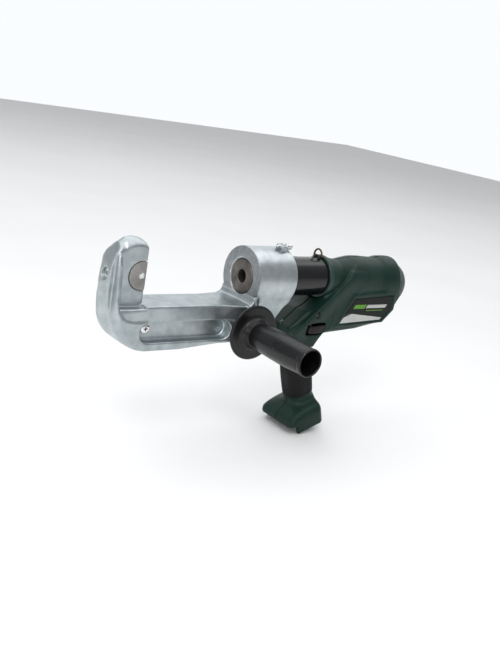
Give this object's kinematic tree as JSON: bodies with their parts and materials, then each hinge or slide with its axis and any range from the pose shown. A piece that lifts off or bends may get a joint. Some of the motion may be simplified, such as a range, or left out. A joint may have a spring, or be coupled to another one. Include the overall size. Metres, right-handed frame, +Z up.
{
  "type": "hydraulic crimping tool",
  "caption": "Battery-hydraulic press tool: a C-frame head whose ram slides toward a fixed anvil, on a pistol-grip motor body with an open battery foot and a side handle.",
  "frame": {"origin": "centre of the ram's front face, at the mouth of its die bore, with the ram fully back", "axes": "-X out of the ram's face towards the jaw, +X along the barrel and motor, +Z up, -Y along the side handle"},
  "size_m": [0.516, 0.2076, 0.2769],
  "materials": {
    "frame_steel": "forged and machined steel with a bright zinc coat, light wear",
    "dark_steel": "hardened steel, brownish dark, oiled",
    "bright_screw": "bright zinc screw",
    "seal_rubber": "matte black rubber",
    "spring_steel": "spring wire",
    "handle_plastic": "satin black moulded plastic, fine texture",
    "barrel_black": "glossy black coat",
    "collar_green": "satin dark green",
    "ring_wire": "dark bronze wire",
    "housing_green": "satin dark green glass-filled plastic, fine texture",
    "label_panel": null,
    "lamp_lens": "clear lamp lens",
    "grip_rubber": "soft black overmould",
    "terminal_plastic": "black plastic with metal blades",
    "control_plastic": "black plastic",
    "circuit_board": "coated circuit board",
    "pump_steel": "machined steel",
    "shaft_steel": "ground steel",
    "fan_plastic": "black plastic"
  },
  "bodies": {
    "pistol": {"barrel": "barrel_black", "barrel_collar": "collar_green", "ring_lugs": "ring_wire", "housing_left": "housing_green", "housing_right": "housing_green", "label_left": "label_panel", "label_right": "label_panel", "housing_screws": "dark_steel", "work_light": "lamp_lens", "grip_sleeve": "grip_rubber", "battery_terminals": "terminal_plastic", "trigger_switch": "terminal_plastic", "control_board": "circuit_board", "pump_block": "pump_steel", "gear_case": "pump_steel", "motor_can": "pump_steel", "oil_bladder": "seal_rubber", "release_valve": "pump_steel", "spring_rod": "bright_screw", "ram_spring": "spring_steel"},
    "head": {"c_frame": "frame_steel", "head_ring": "frame_steel", "anvil": "dark_steel", "anvil_bolt": "dark_steel", "anvil_screw": "bright_screw", "pocket_screws": "bright_screw", "lock_plunger": "dark_steel", "set_screws": "dark_steel", "handle_stud": "bright_screw", "handle_guard": "handle_plastic", "handle_tube": "handle_plastic"},
    "ram": {"ram": "dark_steel", "piston": "dark_steel", "piston_seal": "seal_rubber"},
    "motor": {"motor_rotor": "shaft_steel", "motor_fan": "fan_plastic"},
    "pump_shaft": {"pump_shaft": "shaft_steel"},
    "trigger": {"trigger": "control_plastic"},
    "retract_lever": {"retract_lever": "control_plastic"},
    "hanging_ring": {"hanging_ring": "ring_wire"}
  },
  "joints": [
    {"name": "head_swivel", "type": "hinge", "parent": "pistol", "child": "head", "pos_m": [0, 0, 0], "axis": [1, 0, 0], "range_deg": [-170, 170]},
    {"name": "ram_slide", "type": "slide", "parent": "pistol", "child": "ram", "axis": [-1, 0, 0], "range_m": [0, 0.042], "stiffness_N_per_m": 3000, "springref_m": -0.03, "deforming": ["ram_spring"]},
    {"name": "trigger_pull", "type": "slide", "parent": "pistol", "child": "trigger", "axis": [0.9489, 0, 0.3156], "range_m": [0, 0.006], "stiffness_N_per_m": 1200, "springref_m": -0.002},
    {"name": "retract_lever", "type": "hinge", "parent": "pistol", "child": "retract_lever", "pos_m": [0.118, 0, -0.07], "axis": [0, 1, 0], "range_deg": [-5, 5], "stiffness_Nm_per_rad": 2},
    {"name": "hanging_ring", "type": "hinge", "parent": "pistol", "child": "hanging_ring", "pos_m": [0.129, 0, 0.0284], "axis": [0, 1, 0], "range_deg": [-80, 35]},
    {"name": "motor_spin", "type": "hinge", "parent": "pistol", "child": "motor", "pos_m": [0.24, 0, 0], "axis": [1, 0, 0], "continuous": true},
    {"name": "pump_spin", "type": "hinge", "parent": "pistol", "child": "pump_shaft", "pos_m": [0.16, 0, 0], "axis": [1, 0, 0], "continuous": true}
  ],
  "couplings": [
    {"joint": "pump_spin", "follows": "motor_spin", "ratio": 0.0625}
  ]
}
